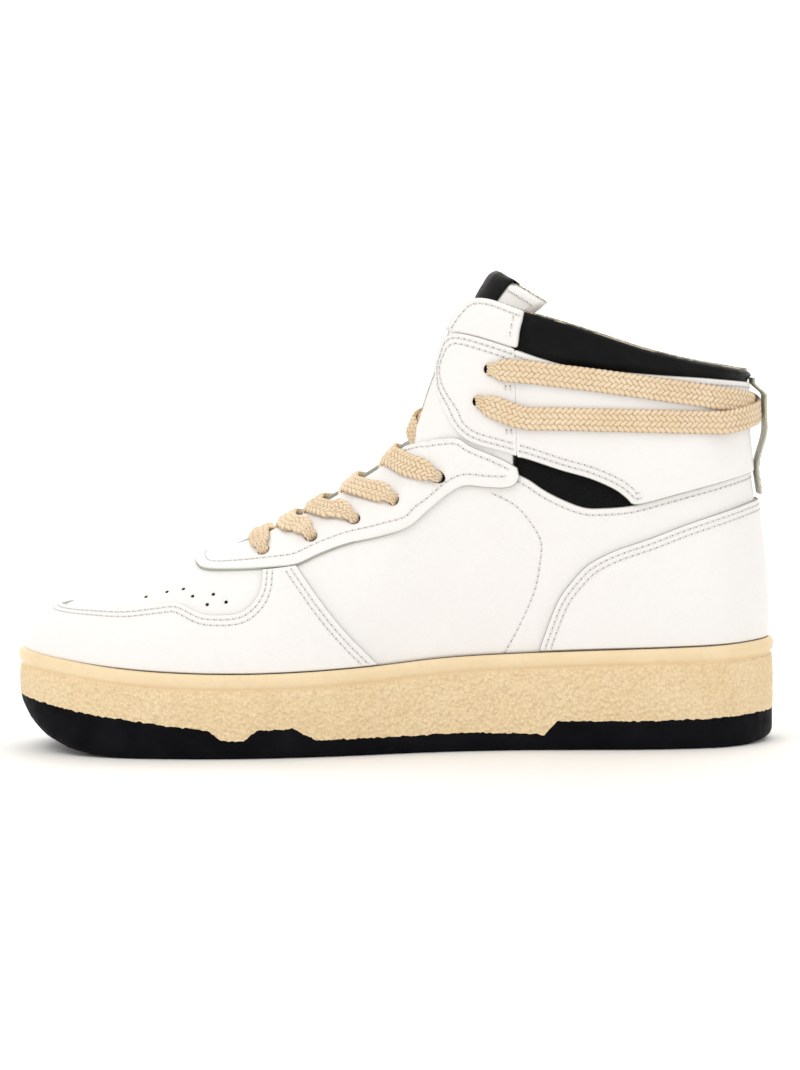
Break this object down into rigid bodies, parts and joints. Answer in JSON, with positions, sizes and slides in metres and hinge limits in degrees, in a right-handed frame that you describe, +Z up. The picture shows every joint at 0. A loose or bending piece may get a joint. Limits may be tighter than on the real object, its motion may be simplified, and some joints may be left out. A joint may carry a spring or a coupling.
{
  "type": "basketball high top",
  "caption": "Laced leather basketball high top for the right foot, with a cup sole, a padded ankle collar, ankle flaps and one flat lace that runs round the heel.",
  "frame": {"origin": "centre of the sole's length and width, on the ground", "axes": "+Z up, -X towards the toe, -Y towards the big-toe side"},
  "size_m": [0.3, 0.112, 0.187],
  "materials": {
    "black_rubber": "matt moulded rubber",
    "cream_rubber": "matt moulded rubber with a fine grain",
    "foam": "closed-cell foam",
    "board": "fibre board",
    "footbed_cloth": "brushed cloth over foam",
    "lining_cloth": "looped terry cloth",
    "backing_cloth": "stiff non-woven backing",
    "white_leather": "smooth coated leather with a fine grain",
    "black_cloth": "black padded cloth",
    "lace_cloth": "flat woven lace",
    "lace_tip": "clear film tip",
    "white_webbing": "folded webbing"
  },
  "bodies": {
    "shoe": {"outsole": "black_rubber", "cupsole": "cream_rubber", "midsole_foam": "foam", "insole_board": "board", "lining": "lining_cloth", "toe_puff": "backing_cloth", "heel_counter": "backing_cloth", "eyestay_backing": "backing_cloth", "collar_padding": "foam", "toe_box": "white_leather", "quarter_medial": "white_leather", "quarter_lateral": "white_leather", "flap_backing_medial": "backing_cloth", "flap_backing_lateral": "backing_cloth", "flex_insert_medial": "black_cloth", "flex_insert_lateral": "black_cloth", "collar_shell": "black_cloth", "eyestay": "white_leather", "mudguard": "white_leather", "heel_overlay": "white_leather", "collar_panel_medial": "white_leather", "collar_panel_lateral": "white_leather", "ankle_flap_medial": "white_leather", "ankle_flap_lateral": "white_leather", "collar_tab_medial": "white_leather", "collar_tab_lateral": "white_leather", "tongue_lower_face": "white_leather", "tongue_lower_foam": "foam", "tongue_lower_lining": "lining_cloth", "lace": "lace_cloth", "aglet_medial": "lace_tip", "aglet_lateral": "lace_tip", "heel_loop": "white_webbing"},
    "tongue_top": {"tongue_top_face": "white_leather", "tongue_top_foam": "foam", "tongue_top_lining": "lining_cloth", "tongue_label": "black_cloth"},
    "footbed": {"sockliner": "footbed_cloth"}
  },
  "joints": [
    {"name": "tongue_flex", "type": "hinge", "parent": "shoe", "child": "tongue_top", "pos_m": [0.0166, 0, 0.1296], "axis": [0, 1, 0], "range_deg": [-2, 14]},
    {"name": "sockliner_lift", "type": "hinge", "parent": "shoe", "child": "footbed", "pos_m": [-0.1405, 0, 0.0349], "axis": [0, -1, 0], "range_deg": [0, 5]}
  ]
}
